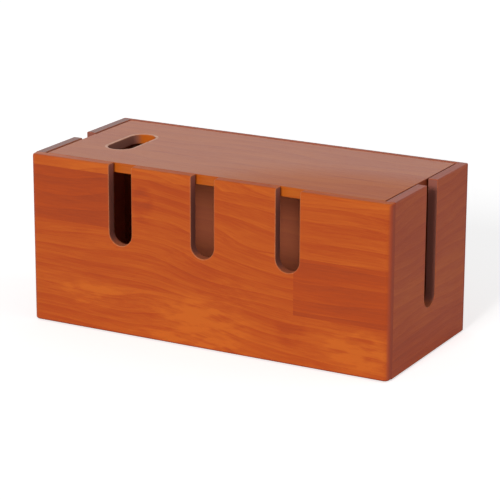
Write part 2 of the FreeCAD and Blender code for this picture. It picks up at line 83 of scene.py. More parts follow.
class Facing(Enum):
    """Where a board's outer face looks: the directions of its length and of its width."""

    FRONT = ((1, 0, 0), (0, 0, 1))
    BACK = ((-1, 0, 0), (0, 0, 1))
    LEFT = ((0, -1, 0), (0, 0, 1))
    RIGHT = ((0, 1, 0), (0, 0, 1))
    UP = ((1, 0, 0), (0, 1, 0))

    def lay_out(self, low: Vector, high: Vector) -> tuple[Vector, Matrix]:
        """Work out a board that faces this way.

        Args:
            low: Lowest corner of the box that it fills.
            high: Highest corner of that box.

        Returns:
            Its length, width and thickness, and the matrix from its own axes to the frame's. Its
            own axes start at the lower left corner of its inner face.
        """
        along, across = (Vector(direction) for direction in self.value)
        outwards = along.cross(across)
        ways = along + across + outwards
        axes = Matrix((along, across, outwards))
        size = Vector([abs(number) for number in axes @ (high - low)])
        corner = Vector([near if way > 0 else far for way, near, far in zip(ways, low, high)])
        return size, Matrix.Translation(corner) @ axes.transposed().to_4x4()


class Grain(Enum):
    """Turn, as Euler angles, that brings the direction of the grain onto X."""

    ALONG_X = (0.0, 0.0, 0.0)
    ALONG_Y = (0.0, 0.0, -math.pi / 2)
    ALONG_Z = (0.0, math.pi / 2, 0.0)


@dataclass(frozen=True)
class Streaks:
    """Noise that is drawn out along the grain: its repeats per millimetre, and its detail."""

    along: float
    across: float
    detail: float = 2.0
    roughness: float = 0.5


class NodeSheet:
    """A node tree, with short ways to add nodes and join them."""

    def __init__(self, owner: bpy.types.Material | bpy.types.World) -> None:
        """Turn on the nodes of a material or world."""
        owner.use_nodes = True
        self.tree = owner.node_tree

    def add(
        self, kind: str, inputs: dict[str | int, Source] | None = None, **settings: object
    ) -> bpy.types.Node:
        """Add a node, set its properties and feed its inputs.

        Args:
            kind: Type of the node, without the ShaderNode that it starts with.
            inputs: What its inputs take, by name or number.
            settings: Properties of the node and their values.

        Returns:
            The new node.
        """
        node = self.tree.nodes.new(f"ShaderNode{kind}")
        for name, setting in settings.items():
            setattr(node, name, setting)
        for key, source in (inputs or {}).items():
            self.feed(node.inputs[key], source)
        return node

    def feed(self, socket: Socket, source: Source) -> None:
        """Join a source to a socket, or write a constant on it.

        Args:
            socket: Input that takes the source.
            source: Output of another node, or a value.
        """
        if isinstance(source, Socket):
            self.tree.links.new(source, socket)
        else:
            socket.default_value = source

    def stretched(
        self, place: Socket, stretch: Sequence[float], shift: Sequence[float] = (0.0, 0.0, 0.0)
    ) -> Socket:
        """Place multiplied along each axis and then moved by a shift."""
        inputs = {"Vector": place, "Location": shift, "Scale": stretch}
        return self.add("Mapping", inputs, vector_type="POINT").outputs["Vector"]

    def vector(self, operation: str, first: Source, second: Source = (0.0, 0.0, 0.0)) -> Socket:
        """Result of a Vector Math node on two vectors."""
        return self.add("VectorMath", {0: first, 1: second}, operation=operation).outputs["Vector"]

    def moved(self, place: Socket, way: Sequence[float], distance: Socket) -> Socket:
        """Place moved along a way, by a number times its length."""
        step = self.add("VectorMath", {0: way, "Scale": distance}, operation="SCALE")
        return self.vector("ADD", place, step.outputs["Vector"])

    def math(self, operation: str, first: Source, second: Source = 0.0) -> Socket:
        """Result of a Math node on two numbers."""
        return self.add("Math", {0: first, 1: second}, operation=operation).outputs["Value"]

    def remap(
        self, source: Socket, old: tuple[float, float], new: tuple[float, float] = (0.0, 1.0)
    ) -> Socket:
        """Number eased from the old range onto the new one.

        Args:
            source: Number to remap.
            old: Values that become the ends of the new range.
            new: Ends of the new range.

        Returns:
            The eased number, which stays inside the new range.
        """
        names = ("Value", "From Min", "From Max", "To Min", "To Max")
        inputs = dict(zip(names, (source, *old, *new)))
        return self.add("MapRange", inputs, interpolation_type="SMOOTHSTEP").outputs["Result"]

    def weighted_sum(self, start: Source, *terms: tuple[Socket, float]) -> Source:
        """Start plus each term times its weight.

        Args:
            start: What the terms are added to.
            terms: Numbers and their weights.

        Returns:
            The sum.
        """
        total = start
        for source, weight in terms:
            node = self.add("Math", {0: source, 1: weight, 2: total}, operation="MULTIPLY_ADD")
            total = node.outputs["Value"]
        return total

    def mix(self, share: Source, first: Source, second: Source) -> Socket:
        """Colour between two others.

        Args:
            share: How far it is from the first to the second, from 0 to 1.
            first: Colour at a share of 0.
            second: Colour at a share of 1.

        Returns:
            The mixed colour.
        """
        first, second = (
            colour if isinstance(colour, Socket) else (*colour, 1.0) for colour in (first, second)
        )
        # Inputs 6 and 7 and output 2 are the ones that hold colours.
        node = self.add("Mix", {"Factor": share, 6: first, 7: second}, data_type="RGBA")
        return node.outputs[2]

    def ramp(self, source: Source, *stops: tuple[float, Colour]) -> Socket:
        """Colour looked up along a ramp.

        Args:
            source: Where to look it up, from 0 to 1.
            stops: Places on the ramp and their colours.

        Returns:
            The colour.
        """
        node = self.add("ValToRGB", {"Fac": source})
        elements = node.color_ramp.elements
        while len(elements) < len(stops):
            elements.new(1.0)
        for element, (place, colour) in zip(elements, stops):
            element.position = place
            element.color = (*colour, 1.0)
        return node.outputs["Color"]


class FinishSheet(NodeSheet):
    """A new material's nodes, with its shader.

    Its place is where a point lies on the piece, in millimetres, turned so that the grain runs
    along X.
    """

    def __init__(self, name: str, grain: Grain) -> None:
        """Start a material with one Principled shader.

        Args:
            name: Name of the material.
            grain: Direction of the grain on the piece.
        """
        self.material = bpy.data.materials.new(name)
        super().__init__(self.material)
        inputs = {
            "Vector": self.add("TexCoord").outputs["Object"],
            "Rotation": grain.value,
            "Scale": (1 / MM, 1 / MM, 1 / MM),
        }
        self.place = self.add("Mapping", inputs, vector_type="POINT").outputs["Vector"]

    def noise(self, streaks: Streaks, place: Socket | None = None) -> Socket:
        """Smooth noise.

        Args:
            streaks: Size and detail of the noise.
            place: Where it is looked up, if not at the sheet's own place.

        Returns:
            A number from 0 to 1.
        """
        stretch = (streaks.along, streaks.across, streaks.across)
        inputs = {
            "Vector": self.stretched(place or self.place, stretch),
            "Scale": 1.0,
            "Detail": streaks.detail,
            "Roughness": streaks.roughness,
        }
        return self.add("TexNoise", inputs).outputs["Fac"]

    def carried(self, layer: str) -> Socket:
        """Number that each face of the piece carries in a layer."""
        return self.add("Attribute", attribute_name=layer).outputs["Fac"]

    def relief(self, height: Source, depth: float) -> Socket:
        """Normal of a relief whose height goes from 0 to 1, for a depth in metres."""
        return self.add("Bump", {"Distance": depth, "Height": height}).outputs["Normal"]

    def finished(self, inputs: dict[str, Source]) -> bpy.types.Material:
        """Feed the shader.

        Args:
            inputs: What its inputs take, by name.

        Returns:
            The material.
        """
        shader = self.tree.nodes["Principled BSDF"]
        for name, source in inputs.items():
            self.feed(shader.inputs[name], source)
        return self.material


@dataclass(frozen=True)
class Patch:
    """Soft spot on a board where the wood took more stain, or where the lacquer is duller.

    The place is in millimetres on the axes of the grain: along it, and across it on the face. The
    patch is full from core, a share of the way from its rim to its middle.
    """

    along: float
    across: float
    half_length: float
    half_width: float
    stain: float = 0.0
    dullness: float = 0.0
    core: float = 0.6

    def share(self, sheet: FinishSheet, across_axis: int) -> Socket:
        """How much of the patch there is at a place.

        Args:
            sheet: Sheet that takes the nodes.
            across_axis: Number of the axis that runs across the grain on the face.

        Returns:
            A number from 0 outside the patch to 1 in its middle.
        """
        stretch = [1 / self.half_length, 0.0, 0.0]
        stretch[across_axis] = 1 / self.half_width
        shift = [-self.along / self.half_length, 0.0, 0.0]
        shift[across_axis] = -self.across / self.half_width
        inputs = {"Vector": sheet.stretched(sheet.place, stretch, shift)}
        ball = sheet.add("TexGradient", inputs, gradient_type="SPHERICAL")
        return sheet.remap(ball.outputs["Fac"], (0.0, self.core))


@dataclass(frozen=True)
class RimWearAndHighlight:
    """Pale line round an oblong hole, long across the grain: wear from hands, and a painted
    highlight.

    Places and sizes are in millimetres, on the axes of the grain. The pale line starts at its
    width from the hole and is full at core, a share of that width.
    """

    along: float
    across: float
    straight: float
    radius: float
    width: float
    core: float = 0.65

    def share(self, sheet: FinishSheet) -> Socket:
        """How much of the pale line, wear and painted highlight, lies at a place.

        Args:
            sheet: Sheet that takes the nodes.

        Returns:
            A number from 0 to 1.
        """
        flat = sheet.stretched(sheet.place, (1.0, 1.0, 0.0), (-self.along, -self.across, 0.0))
        quarter = sheet.vector("ABSOLUTE", flat)
        past_straight = sheet.vector("SUBTRACT", quarter, (0.0, self.straight / 2, 0.0))
        from_arc = sheet.vector("MAXIMUM", past_straight)
        distance = sheet.add("VectorMath", {0: from_arc}, operation="LENGTH").outputs["Value"]
        edges = (self.radius + self.width, self.radius + self.core * self.width)
        return sheet.remap(distance, edges)


@dataclass(frozen=True)
class StainedWood:
    """Orange-brown stain under a satin lacquer, on edge-glued solid wood.

    Sizes are in millimetres, but for the relief. Each stave is cut from its own place in a log,
    log_step further on for each number. The grain drifts by up to drift_reach, and falls by fall
    between two places along the board. pith_turn and pith_shift say how the log's pith lies.
    """

    name: str
    grain: Grain = Grain.ALONG_X
    across_axis: int = 2
    pale: Colour = (0.56, 0.112, 0.009)
    middle: Colour = (0.42, 0.054, 0.004)
    dark: Colour = (0.26, 0.034, 0.006)
    end_grain: Colour = (0.37, 0.060, 0.022)
    thin_stain: Colour = (0.53, 0.190, 0.112)
    raw_end_grain: Colour = (0.29, 0.095, 0.068)
    # Pale colour of rubbed edges; along the front's slot rims and round the finger hole it also
    # paints a highlight.
    pale_wear_and_highlight: Colour = (0.62, 0.25, 0.110)
    contrast: float = 1.0
    roughness: float = 0.42
    ior: float = 1.35
    relief: float = 0.05 * MM
    log_step: tuple[float, float, float] = (613.0, 171.0, 257.0)
    drift_reach: float = 22.0
    fall: float = 0.0
    fall_between: tuple[float, float] = (-70.0, 95.0)
    ring_spacing: float = 11.0
    pith_turn: tuple[float, float, float] = (0.0, math.radians(2.0), math.radians(1.5))
    pith_shift: tuple[float, float, float] = (0.0, 70.0, 20.0)
    drift: Streaks = Streaks(0.006, 0.018, 1.0)
    long_fibres: Streaks = Streaks(0.007, 0.35, 1.0)
    fibres: Streaks = Streaks(0.028, 0.75)
    fine_fibres: Streaks = Streaks(0.05, 1.9, roughness=0.6)
    pores: Streaks = Streaks(0.12, 3.4, 1.0)
    cloud: Streaks = Streaks(0.010, 0.03)
    mottle: Streaks = Streaks(0.045, 0.16)
    patches: tuple[Patch, ...] = ()
    rim_wear_and_highlight: RimWearAndHighlight | None = None

    def material(self) -> bpy.types.Material:
        """Build the wood's nodes.

        Returns:
            The material.
        """
        sheet = FinishSheet(self.name, self.grain)
        stave, stain, arris, inside = (sheet.carried(layer) for layer in FACE_LAYERS)
        log_place = sheet.moved(sheet.place, self.log_step, stave)
        bent = self.bent(sheet, log_place)
        rings = self.growth_rings(sheet, bent)
        long_fibres = sheet.noise(self.long_fibres, bent)
        fibres = sheet.noise(self.fibres, bent)
        fine_fibres = sheet.noise(self.fine_fibres, bent)
        pores = sheet.remap(sheet.noise(self.pores, bent), (0.64, 0.74))
        cloud = sheet.noise(self.cloud, log_place)
        end_share = self.end_share(sheet)

        figure = sheet.weighted_sum(
            -0.73,
            (rings, 0.18),
            (long_fibres, 0.20),
            (fibres, 0.40),
            (fine_fibres, 0.24),
            (cloud, 0.42),
            (pores, 0.10),
        )
        tone = sheet.weighted_sum(0.34, (figure, self.contrast), (stain, 1.0))
        rough = sheet.weighted_sum(
            self.roughness - 0.06, (fine_fibres, 0.12), (pores, 0.10), (inside, 0.20)
        )
        mottle = sheet.remap(sheet.noise(self.mottle), (0.36, 0.62), (0.15, 1.0))
        for patch in self.patches:
            spot = patch.share(sheet, self.across_axis)
            broken = sheet.math("MULTIPLY", spot, mottle)
            tone = sheet.weighted_sum(tone, (broken, patch.stain))
            rough = sheet.weighted_sum(rough, (spot, patch.dullness))
        rough = sheet.weighted_sum(rough, (end_share, 0.20))

        face_grain = sheet.ramp(tone, (0.0, self.pale), (0.45, self.middle), (1.0, self.dark))
        outside = sheet.mix(end_share, face_grain, self.end_grain)
        unpolished = sheet.mix(0.5, face_grain, self.thin_stain)
        hidden = sheet.mix(end_share, unpolished, self.raw_end_grain)
        body = sheet.mix(inside, outside, hidden)
        # Round the finger hole the top is painted pale: wear from hands, and a painted highlight.
        if self.rim_wear_and_highlight:
            outer = sheet.math("SUBTRACT", 1.0, inside)
            rubbed_and_highlit = sheet.math("MULTIPLY", outer, self.rim_wear_and_highlight.share(sheet))
            arris = sheet.math("MAXIMUM", arris, rubbed_and_highlit)
        # Rounded edges are painted pale: wear, and along the front's slot rims also a painted
        # highlight.
        wear = sheet.math("MULTIPLY", arris, sheet.remap(fibres, (0.35, 0.7), (0.4, 0.9)))
        height = sheet.weighted_sum(0.5, (fine_fibres, 0.35), (pores, -0.4), (rings, 0.15))
        return sheet.finished(
            {
                "Base Color": sheet.mix(wear, body, self.pale_wear_and_highlight),
                "Roughness": rough,
                "IOR": self.ior,
                "Normal": sheet.relief(height, self.relief),
            }
        )

    def bent(self, sheet: FinishSheet, log_place: Socket) -> Socket:
        """Bend the grain.

        Args:
            sheet: Sheet that takes the nodes.
            log_place: Place in the log that the stave is cut from.

        Returns:
            Place in the log, moved so that the grain drifts, and falls where it does on the board.
        """
        drift = sheet.noise(self.drift, log_place)
        drifted = sheet.moved(log_place, (0.0, self.drift_reach, self.drift_reach), drift)
        along = sheet.add("SeparateXYZ", {"Vector": sheet.place}).outputs["X"]
        fallen = sheet.remap(along, self.fall_between)
        return sheet.moved(drifted, (0.0, 0.0, self.fall), fallen)

    def growth_rings(self, sheet: NodeSheet, place: Socket) -> Socket:
        """Draw the rings of a log whose pith lies askew to the board.

        Args:
            sheet: Sheet that takes the nodes.
            place: Place in the log.

        Returns:
            A number that rises from 0 to 1 over each ring.
        """
        lie = {"Vector": place, "Rotation": self.pith_turn, "Location": self.pith_shift}
        inputs = {
            "Vector": sheet.add("Mapping", lie, vector_type="POINT").outputs["Vector"],
            "Scale": math.tau / (WAVE_RATE * self.ring_spacing),
            "Distortion": 0.8,
            "Detail": 1.0,
            "Detail Scale": 0.3,
        }
        waves = sheet.add(
            "TexWave", inputs, wave_type="RINGS", rings_direction="X", wave_profile="SAW"
        )
        return waves.outputs["Fac"]

    def end_share(self, sheet: NodeSheet) -> Socket:
        """Find the end grain.

        Args:
            sheet: Sheet that takes the nodes.

        Returns:
            How far a face cuts across the grain, from 0 to 1.
        """
        normal = sheet.add("TexCoord").outputs["Normal"]
        inputs = {"Vector": normal, "Rotation": self.grain.value}
        turned = sheet.add("Mapping", inputs, vector_type="VECTOR").outputs["Vector"]
        along = sheet.add("SeparateXYZ", {"Vector": turned}).outputs["X"]
        return sheet.remap(sheet.math("ABSOLUTE", along), (0.45, 0.95))


@dataclass(frozen=True)
class PlainWood:
    """Wood that shows little: bare, or stained without lacquer."""

    name: str
    light: Colour
    dark: Colour
    grain: Grain = Grain.ALONG_X
    roughness: float = 0.55
    relief: float = 0.08 * MM
    fibres: Streaks = Streaks(0.03, 1.1, 3.0, 0.6)
    cloud: Streaks = Streaks(0.01, 0.05)
    ticks: Streaks = Streaks(0.2, 4.0, 1.0)

    def material(self) -> bpy.types.Material:
        """Build the wood's nodes.

        Returns:
            The material.
        """
        sheet = FinishSheet(self.name, self.grain)
        fibres = sheet.noise(self.fibres)
        cloud = sheet.noise(self.cloud)
        ticks = sheet.remap(sheet.noise(self.ticks), (0.6, 0.72))
        tone = sheet.weighted_sum(-0.2, (fibres, 0.8), (cloud, 0.6), (ticks, 0.25))
        height = sheet.weighted_sum(0.5, (fibres, 0.4), (ticks, -0.4))
        return sheet.finished(
            {
                "Base Color": sheet.ramp(tone, (0.2, self.light), (0.9, self.dark)),
                "Roughness": sheet.weighted_sum(self.roughness - 0.1, (fibres, 0.2)),
                "Normal": sheet.relief(height, self.relief),
            }
        )


@dataclass(frozen=True)
class TurnedMetal:
    """Metal with fine turning marks round its axis, and a slight tarnish."""

    name: str
    bright: Colour
    dull: Colour
    axis: Grain
    roughness: float = 0.35
    relief: float = 0.02 * MM
    marks: Streaks = Streaks(9.0, 0.6)
    tarnish: Streaks = Streaks(0.5, 0.5, 3.0)

    def material(self) -> bpy.types.Material:
        """Build the metal's nodes.

        Returns:
            The material.
        """
        sheet = FinishSheet(self.name, self.axis)
        marks = sheet.noise(self.marks)
        tarnish = sheet.noise(self.tarnish)
        tone = sheet.weighted_sum(-0.2, (marks, 0.5), (tarnish, 0.9))
        rough = sheet.weighted_sum(self.roughness - 0.15, (tarnish, 0.2), (marks, 0.12))
        return sheet.finished(
            {
                "Base Color": sheet.ramp(tone, (0.2, self.bright), (0.85, self.dull)),
                "Roughness": rough,
                "Metallic": 1.0,
                "Normal": sheet.relief(marks, self.relief),
            }
        )


@dataclass(frozen=True)
class MattRubber:
    """Dark rubber with a fine pebbled skin and a little dust."""

    name: str
    clean: Colour = (0.022, 0.020, 0.019)
    dusty: Colour = (0.085, 0.078, 0.070)
    roughness: float = 0.72
    relief: float = 0.12 * MM
    dust: Streaks = Streaks(0.25, 0.25, 3.0)
    pebbles_per_mm: float = 2.2

    def material(self) -> bpy.types.Material:
        """Build the rubber's nodes.

        Returns:
            The material.
        """
        sheet = FinishSheet(self.name, Grain.ALONG_X)
        dust = sheet.noise(self.dust)
        inputs = {"Vector": sheet.place, "Scale": self.pebbles_per_mm}
        pebbles = sheet.add("TexVoronoi", inputs, feature="SMOOTH_F1")
        height = sheet.math("SUBTRACT", 1.0, pebbles.outputs["Distance"])
        return sheet.finished(
            {
                "Base Color": sheet.mix(sheet.remap(dust, (0.45, 0.75)), self.clean, self.dusty),
                "Roughness": sheet.weighted_sum(self.roughness - 0.1, (dust, 0.2)),
                "Normal": sheet.relief(height, self.relief),
            }
        )


@dataclass(frozen=True)
class Stave:
    """Strip of an edge-glued board between two glue lines and two butt joints.

    Places are in millimetres on the board's face, from its lower left corner seen from outside.
    """

    left: float
    right: float
    low: float
    high: float
    stain: float

    def holds(self, along: float, across: float) -> bool:
        """Whether a place on the board, in metres, lies in this strip."""
        inside_length = self.left * MM <= along <= self.right * MM
        return inside_length and self.low * MM <= across <= self.high * MM


@dataclass(frozen=True)
class Groove:
    """Groove along the inside of a wall, which holds the bottom panel."""

    depth: float = 4 * MM
    setback: float = 0.0
    low: float = 4 * MM
    high: float = 9.1 * MM


@dataclass(frozen=True)
class Rounding:
    """How an edge is rounded: by strips, of which one makes a chamfer, and how pale, from 0 to 1.
    """

    radius: float
    strips: int
    wear: float = 0.0


class Workpiece:
    """A board on the bench: a bmesh in the board's own axes while it is cut and rounded.

    X runs along the board and Y across it. Its inner face lies at Z 0 and its outer face at Z
    thickness.
    """

    def __init__(self, node: str, facing: Facing) -> None:
        """Measure the board, and start with nothing but the layers that its finish reads.

        Args:
            node: CAD node that gives its size and place.
            facing: Where its outer face looks.
        """
        self.name = node.removesuffix("_panel") + "_board"
        self.size, self.place = facing.lay_out(*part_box(node))
        self.mesh = bmesh.new()
        layers = self.mesh.faces.layers.float
        self.stave, self.stain, self.arris, self.inside = map(layers.new, FACE_LAYERS)
        self.first: Vert | None = None
        self.last: Vert | None = None

    def start(self, along: float, across: float) -> None:
        """Put the pen down on the inner face."""
        made = bmesh.ops.create_vert(self.mesh, co=(along, across, 0.0))
        self.first = self.last = made["vert"][0]

    def run(self, along: float, across: float) -> None:
        """Draw a straight edge.

        Args:
            along: Distance along the board.
            across: Distance across it.
        """
        made = bmesh.ops.extrude_vert_indiv(self.mesh, verts=[self.last])
        self.last = made["verts"][0]
        bmesh.ops.translate(self.mesh, vec=(along, across, 0.0), verts=[self.last])

    def bend(self, along: float, across: float, angle: float, steps: int) -> None:
        """Draw an arc.

        Args:
            along: Place of its centre along the board, from the pen.
            across: Place of its centre across the board, from the pen.
            angle: How far it goes round, to the left where it is above 0.
            steps: How many edges make it up.
        """
        made = bmesh.ops.spin(
            self.mesh,
            geom=[self.last],
            cent=self.last.co + Vector((along, across, 0.0)),
            axis=(0.0, 0.0, 1.0),
            angle=angle,
            steps=steps,
        )
        self.last = made["geom_last"][0]

    def close(self) -> None:
        """Join the last point to the first."""
        bmesh.ops.pointmerge(self.mesh, verts=[self.first, self.last], merge_co=self.first.co)

    def draw_outline(
        self, slot_width: float = 0.0, slot_depth: float = 0.0, centres: Sequence[float] = ()
    ) -> None:
        """Draw the board's outline, with slots that open at its upper long side.

        Args:
            slot_width: Width of each slot, which ends round.
            slot_depth: Depth of each slot.
            centres: Where the slots are along the board, from its left end.
        """
        radius = slot_width / 2
        upright = slot_depth - radius
        self.start(0.0, 0.0)
        self.run(self.size.x, 0.0)
        self.run(0.0, self.size.y)
        reached = self.size.x
        for centre in reversed(centres):
            self.run(centre + radius - reached, 0.0)
            self.run(0.0, -upright)
            self.bend(-radius, 0.0, -math.pi, ARC_STEPS)
            self.run(0.0, upright)
            reached = centre - radius
        self.run(-reached, 0.0)
        self.run(0.0, -self.size.y)
        self.close()

    def saw(self, *seams: float) -> None:
        """Fill the outlines, holes left open, and give the board its thickness.

        Args:
            seams: Places along the board, one through each row of holes, where a line divides its
                faces. No other line is left on them, so that each corner rounds evenly.
        """
        bmesh.ops.triangle_fill(
            self.mesh, use_beauty=True, use_dissolve=True, edges=self.mesh.edges[:]
        )
        for seam in seams:
            self.split(Vector((seam, 0.0, 0.0)), Vector((1, 0, 0)), self.mesh.faces[:])
        spare = [
            edge
            for edge in self.mesh.edges
            if edge.is_manifold and not any(self.lies_at(edge, 0, seam) for seam in seams)
        ]
        bmesh.ops.dissolve_edges(self.mesh, edges=spare)
        self.extrude(self.mesh.faces[:], self.size.z)
        bmesh.ops.recalc_face_normals(self.mesh, faces=self.mesh.faces[:])

    def extrude(self, parts: list[Face | Edge], height: float) -> None:
        """Extrude faces towards the outer side.

        Args:
            parts: The faces, and the edges among theirs that go with them.
            height: How far, in metres.
        """
        made = bmesh.ops.extrude_face_region(self.mesh, geom=parts)
        points = [item for item in made["geom"] if isinstance(item, Vert)]
        bmesh.ops.translate(self.mesh, vec=(0.0, 0.0, height), verts=points)

    def lies_at(self, edge: Edge, axis: int, level: float) -> bool:
        """Whether both points of an edge lie at a level of one of the board's axes."""
        return all(abs(vert.co[axis] - level) < LEVEL_TOLERANCE for vert in edge.verts)

    def is_inner(self, edge: Edge) -> bool:
        """Whether an edge lies on the inner face."""
        return self.lies_at(edge, 2, 0.0)

    def is_outer(self, edge: Edge) -> bool:
        """Whether an edge lies on the outer face."""
        return self.lies_at(edge, 2, self.size.z)

    def is_rail(self, edge: Edge) -> bool:
        """Whether an edge lies on one of the two long sides."""
        return self.lies_at(edge, 1, 0.0) or self.lies_at(edge, 1, self.size.y)

    def is_crossing(self, edge: Edge) -> bool:
        """Whether an edge runs from the inner face to the outer face."""
        return abs(edge.verts[0].co.z - edge.verts[1].co.z) > self.size.z - LEVEL_TOLERANCE

    def is_end(self, edge: Edge, reach: float = 0.0) -> bool:
        """Whether an edge lies at one of the board's two ends.

        Args:
            edge: The edge.
            reach: How far from the end it may lie, in metres.

        Returns:
            True where both of its points are that near to the same end.
        """
        places = [vert.co.x for vert in edge.verts]
        reach += LEVEL_TOLERANCE
        return max(places) < reach or min(places) > self.size.x - reach

    def round_edges(self, rounding: Rounding, chosen: Callable[[Edge], bool]) -> None:
        """Round the sharp edges that are chosen, and mark how pale the new faces are painted.

        Args:
            rounding: Its radius, strips and wear.
            chosen: Test of an edge.
        """
        edges = [
            edge
            for edge in self.mesh.edges
            if edge.is_manifold and edge.calc_face_angle() > SHARP_ANGLE and chosen(edge)
        ]
        made = bmesh.ops.bevel(
            self.mesh,
            geom=edges,
            offset=rounding.radius,
            offset_type="OFFSET",
            affect="EDGES",
            segments=rounding.strips,
            profile=0.5,
            material=-1,
        )
        for face in made["faces"]:
            face[self.arris] = rounding.wear

    def cut_groove(self, groove: Groove) -> None:
        """Sink a groove into the inner face, open where it reaches a board's end.

        Args:
            groove: Its sizes.
        """
        start = Vector((groove.setback, groove.low, 0.0))
        end = Vector((self.size.x - groove.setback, groove.high, 0.0))
        for place in (start, end):
            for normal in (Vector((1, 0, 0)), Vector((0, 1, 0))):
                self.split(place, normal, self.inner_faces())
        sunk = [face for face in self.inner_faces() if self.is_between(face, start, end)]
        edges = {edge for face in sunk for edge in face.edges}
        open_ends = [edge for edge in edges if self.is_end(edge)]
        self.extrude([*sunk, *edges], groove.depth)
        bmesh.ops.dissolve_edges(self.mesh, edges=open_ends)

    def inner_faces(self) -> list[Face]:
        """Faces that lie on the board's inner side."""
        return [face for face in self.mesh.faces if all(map(self.is_inner, face.edges))]

    def is_between(self, face: Face, start: Vector, end: Vector) -> bool:
        """Whether the middle of a face lies between two corners of a rectangle."""
        middle = face.calc_center_median()
        return start.x < middle.x < end.x and start.y < middle.y < end.y

    def split(self, place: Vector, normal: Vector, faces: list[Face]) -> None:
        """Divide faces where a plane crosses them.

        Args:
            place: A point of the plane.
            normal: Direction that the plane faces.
            faces: The faces.
        """
        edges = {edge for face in faces for edge in face.edges}
        verts = {vert for face in faces for vert in face.verts}
        bmesh.ops.bisect_plane(
            self.mesh,
            geom=[*faces, *edges, *verts],
            dist=LEVEL_TOLERANCE,
            plane_co=place,
            plane_no=normal,
        )

    def glue_up(self, staves: tuple[Stave, ...]) -> None:
        """Divide the board into its staves, and write on each face which one it belongs to.

        Args:
            staves: All staves of the board, row by row from the lowest.
        """
        for level in sorted({stave.low for stave in staves})[1:]:
            line = Vector((0.0, level * MM, 0.0))
            self.split(line, Vector((0, 1, 0)), self.mesh.faces[:])
        for stave in staves:
            row_start = Vector((-math.inf, stave.low * MM, 0.0))
            row_end = Vector((math.inf, stave.high * MM, 0.0))
            row = [face for face in self.mesh.faces if self.is_between(face, row_start, row_end)]
            self.split(Vector((stave.left * MM, 0.0, 0.0)), Vector((1, 0, 0)), row)
        for face in self.mesh.faces:
            middle = face.calc_center_median()
            for number, stave in enumerate(staves, start=1):
                if stave.holds(middle.x, middle.y):
                    face[self.stave] = number
                    face[self.stain] = stave.stain

    def mark_inside(self) -> None:
        """Mark the inner face, its grooves, and the walls of slots and holes."""
        for face in self.mesh.faces:
            middle = face.calc_center_median()
            at_rail = min(middle.y, self.size.y - middle.y) < RIM_REACH
            at_end = min(middle.x, self.size.x - middle.x) < RIM_REACH
            is_wall = abs(face.normal.z) < FLAT_SHARE and not (at_rail or at_end)
            if face.normal.z < -FLAT_SHARE or is_wall:
                face[self.inside] = 1.0

    def darken_side(self, way: int, reach: float, stain: float) -> None:
        """Paint one of the long sides darker than the rest.

        Args:
            way: 1 for the upper long side, -1 for the lower one.
            reach: How far the darkening goes round the edge, in metres.
            stain: How much darker it is painted, on the scale of the stain.
        """
        level = self.size.y if way > 0 else 0.0
        for face in self.mesh.faces:
            is_near = abs(face.calc_center_median().y - level) < reach
            if is_near and face.normal.y * way > SIDE_SHARE:
                face[self.stain] += stain

    def paint_lid_gap_shade(self, width: float, stain: float) -> None:
        """Painted shade: a darker band along the top of the inner face, which the lid's edge
        faces.

        Args:
            width: Width of the band in metres.
            stain: How much darker the band is painted, on the scale of the stain.
        """
        level = self.size.y - width
        self.split(Vector((0.0, level, 0.0)), Vector((0, 1, 0)), self.inner_faces())
        for face in self.mesh.faces:
            if face.normal.z < -FLAT_SHARE and face.calc_center_median().y > level:
                face[self.stain] += stain

    def release(self) -> bpy.types.Object:
        """Turn the work into an object at its place, with clean shading.

        Returns:
            The object, which lies at the origin with its place in its mesh.
        """
        for face in self.mesh.faces:
            face.smooth = True
        for edge in self.mesh.edges:
            edge.smooth = edge.calc_face_angle(math.pi) < SHARP_ANGLE
        bmesh.ops.transform(self.mesh, matrix=self.place, verts=self.mesh.verts[:])
        data = bpy.data.meshes.new(self.name)
        self.mesh.to_mesh(data)
        self.mesh.free()
        piece = bpy.data.objects.new(self.name, data)
        bpy.context.scene.collection.objects.link(piece)
        shading = piece.modifiers.new("even_shading", "WEIGHTED_NORMAL")
        shading.keep_sharp = True
        shading.weight = 100
        return piece


def stand_for(piece: bpy.types.Object, node: str, body: str, wood: StainedWood) -> None:
    """Put a new piece in the place of a CAD node.

    Args:
        piece: The new piece.
        node: CAD node that it replaces.
        body: CAD body that it rides on.
        wood: Its finish.
    """
    piece.data.materials.append(wood.material())
    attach(piece, body)
    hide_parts(node)
    log.info("%s: %d faces, for %s", piece.name, len(piece.data.polygons), node)


def dress_nodes(ending: str, finish: PlainWood | TurnedMetal | MattRubber) -> None:
    """Give CAD nodes a finish, in every one of their material slots.

    Args:
        ending: What the names of the nodes end with.
        finish: Their finish.
    """
    material = finish.material()
    for node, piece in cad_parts.items():
        if not node.endswith(ending):
            continue
        if not piece.material_slots:
            piece.data.materials.append(material)
        for slot in piece.material_slots:
            slot.material = material
        log.info("%s: finished as %s", node, material.name)


